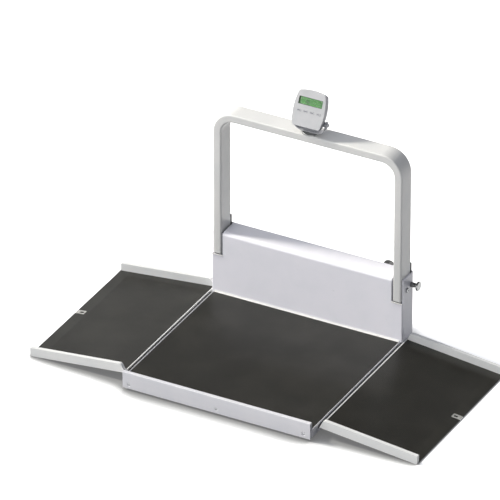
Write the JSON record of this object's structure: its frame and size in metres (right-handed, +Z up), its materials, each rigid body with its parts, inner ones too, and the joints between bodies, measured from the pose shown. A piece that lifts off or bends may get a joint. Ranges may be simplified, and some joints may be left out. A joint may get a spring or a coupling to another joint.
{
  "type": "wheelchair scale",
  "caption": "Low weighing platform with side ramps, rear column panel with fold-down U handrail, lock plunger, castors and a tilting indicator head.",
  "frame": {"origin": "on the floor under the middle of the whole outline, castors included; the platform's own middle lies 45 mm in front of it", "axes": "+Z up; -Y towards the kerb along the front; +X and -X along the ramps"},
  "size_m": [1.6552, 0.91, 1.0142],
  "materials": {
    "frame_paint": "satin powder coat, pale lavender grey",
    "panel_paint": "satin powder coat, pale lavender grey",
    "rail_paint": "satin powder coat, pale lavender grey",
    "under_paint": "matt primer",
    "mat": "fine ribbed matt",
    "rest_rubber": "matt",
    "zinc": "zinc plated",
    "knob_metal": "polished",
    "cell_metal": "milled",
    "edge_metal": "anodised",
    "hinge_steel": "dark oiled steel",
    "tyre": "moulded",
    "case": "fine moulded grain",
    "case_back": "fine moulded grain",
    "display": "green tinted",
    "keys": "satin, pale grey",
    "board": "solder resist",
    "dark_plastic": "matt",
    "yoke_metal": "satin grey"
  },
  "bodies": {
    "platform": {"castor_plate_left": "zinc", "castor_plate_right": "zinc", "deck_mat": "mat", "deck_ribs": "under_paint", "deck_tray": "frame_paint", "fixed_fork_left": "zinc", "fixed_fork_right": "zinc", "foot_front_left": "zinc", "foot_front_right": "zinc", "foot_rear_left": "zinc", "foot_rear_right": "zinc", "front_kerb": "frame_paint", "hook_rail_left": "frame_paint", "hook_rail_right": "frame_paint", "leg_rest_left": "rest_rubber", "leg_rest_right": "rest_rubber", "load_cell_front_left": "cell_metal", "load_cell_front_right": "cell_metal", "load_cell_rear_left": "cell_metal", "load_cell_rear_right": "cell_metal", "panel_cover": "panel_paint", "panel_shell": "panel_paint", "pivot_bolt_left": "zinc", "pivot_bolt_right": "zinc", "pivot_bracket_left": "under_paint", "pivot_bracket_right": "under_paint", "plunger_sleeve": "knob_metal", "summing_box": "dark_plastic"},
    "handrail": {"handrail": "rail_paint", "tilt_yoke": "yoke_metal", "yoke_pad": "yoke_metal"},
    "indicator_head": {"head_bezel": "case", "head_back": "case_back", "head_window": "display", "head_board": "board", "battery_cover": "case_back", "cable_gland": "dark_plastic"},
    "lock_plunger": {"plunger_pin_and_knob": "knob_metal"},
    "tilt_knob_right": {"tilt_knob_right": "dark_plastic"},
    "ramp_leaf_right": {"hook_leaf_right": "hinge_steel"},
    "ramp_right": {"ramp_body_right": "frame_paint", "hinge_strip_right": "hinge_steel", "ramp_mat_right": "mat", "ramp_tab_right": "edge_metal"},
    "castor_fork_right": {"castor_fork_right": "zinc"},
    "castor_wheel_right": {"castor_wheel_right": "tyre"},
    "fixed_wheel_right": {"fixed_wheel_right": "tyre"},
    "tilt_knob_left": {"tilt_knob_left": "dark_plastic"},
    "ramp_leaf_left": {"hook_leaf_left": "hinge_steel"},
    "ramp_left": {"ramp_body_left": "frame_paint", "hinge_strip_left": "hinge_steel", "ramp_mat_left": "mat", "ramp_tab_left": "edge_metal"},
    "castor_fork_left": {"castor_fork_left": "zinc"},
    "castor_wheel_left": {"castor_wheel_left": "tyre"},
    "fixed_wheel_left": {"fixed_wheel_left": "tyre"},
    "key_1": {"key_1": "keys"},
    "key_2": {"key_2": "keys"},
    "key_3": {"key_3": "keys"},
    "key_4": {"key_4": "keys"}
  },
  "joints": [
    {"name": "handrail_fold", "type": "hinge", "parent": "platform", "child": "handrail", "pos_m": [0, 0.314, 0.259], "axis": [1, 0, 0], "range_deg": [0, 90]},
    {"name": "lock_plunger_pull", "type": "slide", "parent": "platform", "child": "lock_plunger", "axis": [1, 0, 0], "range_m": [0, 0.014], "stiffness_N_per_m": 300, "springref_m": -0.02},
    {"name": "indicator_tilt", "type": "hinge", "parent": "handrail", "child": "indicator_head", "pos_m": [0, 0.3, 0.89424], "axis": [1, 0, 0], "range_deg": [-30, 26]},
    {"name": "ramp_lift_right", "type": "slide", "parent": "platform", "child": "ramp_leaf_right", "axis": [0, 0, 1], "range_m": [0, 0.06]},
    {"name": "ramp_tilt_right", "type": "hinge", "parent": "ramp_leaf_right", "child": "ramp_right", "pos_m": [0.4115, 0, 0.0425], "axis": [0, -1, 0], "range_deg": [0, 30]},
    {"name": "tilt_knob_turn_right", "type": "hinge", "parent": "indicator_head", "child": "tilt_knob_right", "pos_m": [0, 0.3, 0.89424], "axis": [1, 0, 0], "range_deg": [0, 360]},
    {"name": "castor_swivel_right", "type": "hinge", "parent": "platform", "child": "castor_fork_right", "pos_m": [0.272, 0.38, 0.229], "axis": [0, 1, 0], "continuous": true},
    {"name": "castor_roll_right", "type": "hinge", "parent": "castor_fork_right", "child": "castor_wheel_right", "pos_m": [0.272, 0.4175, 0.257], "axis": [1, 0, 0], "continuous": true},
    {"name": "fixed_wheel_roll_right", "type": "hinge", "parent": "platform", "child": "fixed_wheel_right", "pos_m": [0.272, 0.4175, 0.062], "axis": [1, 0, 0], "continuous": true},
    {"name": "ramp_lift_left", "type": "slide", "parent": "platform", "child": "ramp_leaf_left", "axis": [0, 0, 1], "range_m": [0, 0.06]},
    {"name": "ramp_tilt_left", "type": "hinge", "parent": "ramp_leaf_left", "child": "ramp_left", "pos_m": [-0.4115, 0, 0.0425], "axis": [0, 1, 0], "range_deg": [0, 30]},
    {"name": "tilt_knob_turn_left", "type": "hinge", "parent": "indicator_head", "child": "tilt_knob_left", "pos_m": [0, 0.3, 0.89424], "axis": [-1, 0, 0], "range_deg": [0, 360]},
    {"name": "castor_swivel_left", "type": "hinge", "parent": "platform", "child": "castor_fork_left", "pos_m": [-0.272, 0.38, 0.229], "axis": [0, 1, 0], "continuous": true},
    {"name": "castor_roll_left", "type": "hinge", "parent": "castor_fork_left", "child": "castor_wheel_left", "pos_m": [-0.272, 0.4175, 0.201], "axis": [1, 0, 0], "continuous": true},
    {"name": "fixed_wheel_roll_left", "type": "hinge", "parent": "platform", "child": "fixed_wheel_left", "pos_m": [-0.272, 0.4175, 0.062], "axis": [1, 0, 0], "continuous": true},
    {"name": "key_press_1", "type": "slide", "parent": "indicator_head", "child": "key_1", "axis": [0, 0.8965, -0.4431], "range_m": [0, 0.0008], "stiffness_N_per_m": 800, "springref_m": -0.0006},
    {"name": "key_press_2", "type": "slide", "parent": "indicator_head", "child": "key_2", "axis": [0, 0.8965, -0.4431], "range_m": [0, 0.0008], "stiffness_N_per_m": 800, "springref_m": -0.0006},
    {"name": "key_press_3", "type": "slide", "parent": "indicator_head", "child": "key_3", "axis": [0, 0.8965, -0.4431], "range_m": [0, 0.0008], "stiffness_N_per_m": 800, "springref_m": -0.0006},
    {"name": "key_press_4", "type": "slide", "parent": "indicator_head", "child": "key_4", "axis": [0, 0.8965, -0.4431], "range_m": [0, 0.0008], "stiffness_N_per_m": 800, "springref_m": -0.0006}
  ]
}
